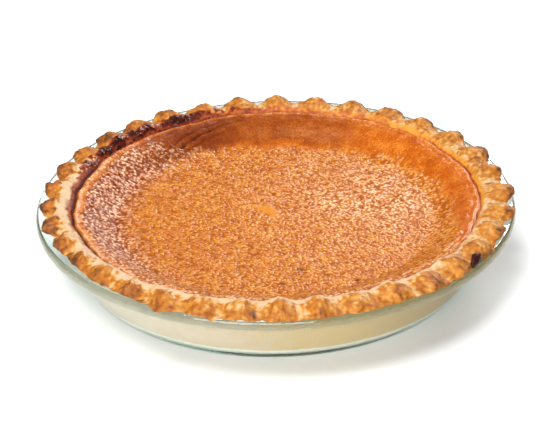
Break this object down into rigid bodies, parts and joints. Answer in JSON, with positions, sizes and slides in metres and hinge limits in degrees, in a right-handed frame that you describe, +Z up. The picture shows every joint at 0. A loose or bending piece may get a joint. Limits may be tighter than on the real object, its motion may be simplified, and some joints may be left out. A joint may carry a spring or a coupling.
{
  "type": "sweet potato pie in a glass pie dish",
  "caption": "Whole baked custard pie with a sunk smooth filling and a pinched pastry edge, standing in its own clear round glass pie dish.",
  "frame": {"origin": "centre of the dish's foot, on the surface it stands on", "axes": "+Z up, the axis of the round dish; -Y is the side where the pastry edge has slumped over the glass rim"},
  "size_m": [0.242, 0.2418, 0.0422],
  "materials": {
    "clear_glass": "clear pressed glass with a faint green edge",
    "baked_pastry": "baked shortcrust, pale in the hollows and brown on the ridges",
    "baked_filling": "baked sweet potato custard, glossy and finely pimpled"
  },
  "bodies": {
    "root": {"glass_dish": "clear_glass", "crust": "baked_pastry", "filling": "baked_filling"}
  },
  "joints": []
}
